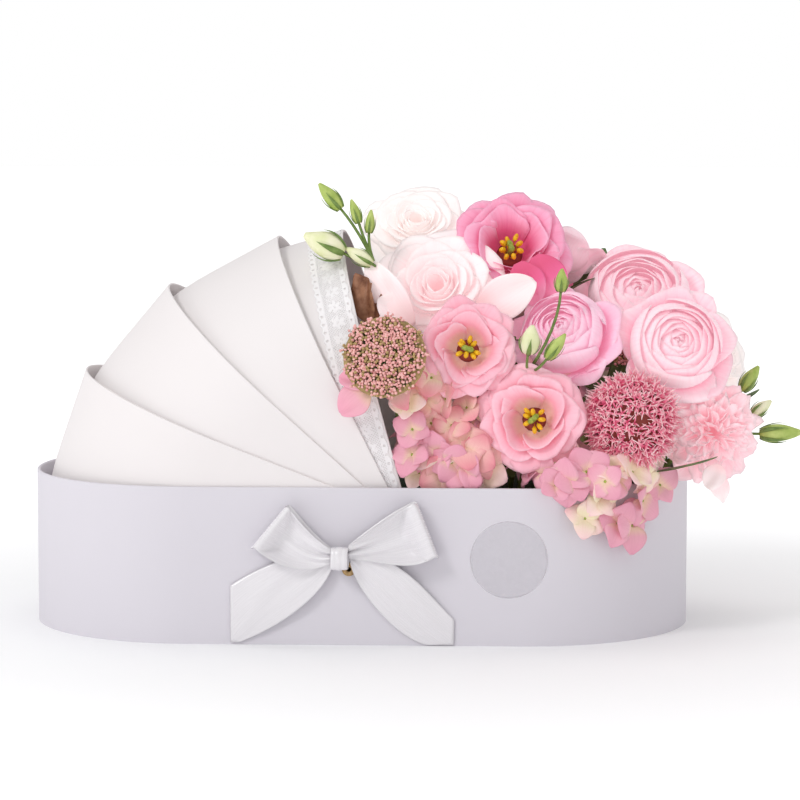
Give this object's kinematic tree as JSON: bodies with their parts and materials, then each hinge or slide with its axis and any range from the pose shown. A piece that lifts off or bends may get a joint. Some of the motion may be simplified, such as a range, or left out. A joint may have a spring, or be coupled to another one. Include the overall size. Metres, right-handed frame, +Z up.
{
  "type": "flower box",
  "caption": "Oblong paper-covered flower box with a folding hood of nested shells on two rivets, lace trim, satin bow, and a cut flower arrangement in wet foam.",
  "frame": {"origin": "middle of the flat underside of the box", "axes": "+X along the box towards the flowers, away from the hood; -Y is the front with the bow; +Z up"},
  "size_m": [0.468, 0.2188, 0.27],
  "materials": {
    "box_paper": "matte",
    "hood_paper": "matte",
    "lace": "matte",
    "liner": "satin",
    "wet_foam": "matte",
    "rivet_brass": "satin",
    "label": "gloss",
    "glue": "gloss",
    "satin_ribbon": "satin",
    "rose_petal": "matte",
    "lisianthus_petal": "matte",
    "ranunculus_petal": "satin",
    "carnation_petal": "matte",
    "scabiosa_petal": "matte",
    "hydrangea_petal": "matte",
    "umbel_bud": "matte",
    "bud": "satin",
    "leaf": "satin"
  },
  "bodies": {
    "box": {"bow_adhesive_pad": "glue", "bow_knot": "satin_ribbon", "bow_loop_left": "satin_ribbon", "bow_loop_right": "satin_ribbon", "bow_tail_left": "satin_ribbon", "bow_tail_right": "satin_ribbon", "box_base": "box_paper", "box_wall": "box_paper", "bud_spray_left": "bud", "bud_spray_middle": "bud", "bud_spray_right": "bud", "carnation_rear": "carnation_petal", "carnation_right": "carnation_petal", "foam_block": "wet_foam", "foam_liner": "liner", "hydrangea_front": "hydrangea_petal", "hydrangea_left": "hydrangea_petal", "hydrangea_rear": "hydrangea_petal", "leaves": "leaf", "lisianthus_low": "lisianthus_petal", "lisianthus_middle": "lisianthus_petal", "lisianthus_rear": "lisianthus_petal", "lisianthus_top": "lisianthus_petal", "pivot_rivets": "rivet_brass", "ranunculus_back": "ranunculus_petal", "ranunculus_crown": "ranunculus_petal", "ranunculus_middle": "ranunculus_petal", "ranunculus_rear": "ranunculus_petal", "ranunculus_right": "ranunculus_petal", "rivet_washers": "rivet_brass", "rose_front": "rose_petal", "rose_rear": "rose_petal", "rose_side": "rose_petal", "rose_top": "rose_petal", "scabiosa_front": "scabiosa_petal", "scabiosa_rear": "scabiosa_petal", "seal_label": "label", "umbel_left": "umbel_bud", "umbel_small": "umbel_bud"},
    "rear_shell": {"hood_shell_rear": "hood_paper"},
    "mid_rear_shell": {"hood_shell_mid_rear": "hood_paper"},
    "mid_front_shell": {"hood_shell_mid_front": "hood_paper"},
    "front_shell": {"hood_shell_front": "hood_paper", "hood_lace_trim": "lace"}
  },
  "joints": [
    {"name": "rear_fold", "type": "hinge", "parent": "box", "child": "rear_shell", "pos_m": [-0.002, 0, 0.0453], "axis": [0, -1, 0], "range_deg": [0, 21]},
    {"name": "mid_rear_fold", "type": "hinge", "parent": "rear_shell", "child": "mid_rear_shell", "pos_m": [-0.002, 0, 0.0453], "axis": [0, -1, 0], "range_deg": [0, 20.9]},
    {"name": "mid_front_fold", "type": "hinge", "parent": "mid_rear_shell", "child": "mid_front_shell", "pos_m": [-0.002, 0, 0.0453], "axis": [0, -1, 0], "range_deg": [0, 21.3]},
    {"name": "front_fold", "type": "hinge", "parent": "mid_front_shell", "child": "front_shell", "pos_m": [-0.002, 0, 0.0453], "axis": [0, -1, 0], "range_deg": [0, 11.6]}
  ]
}
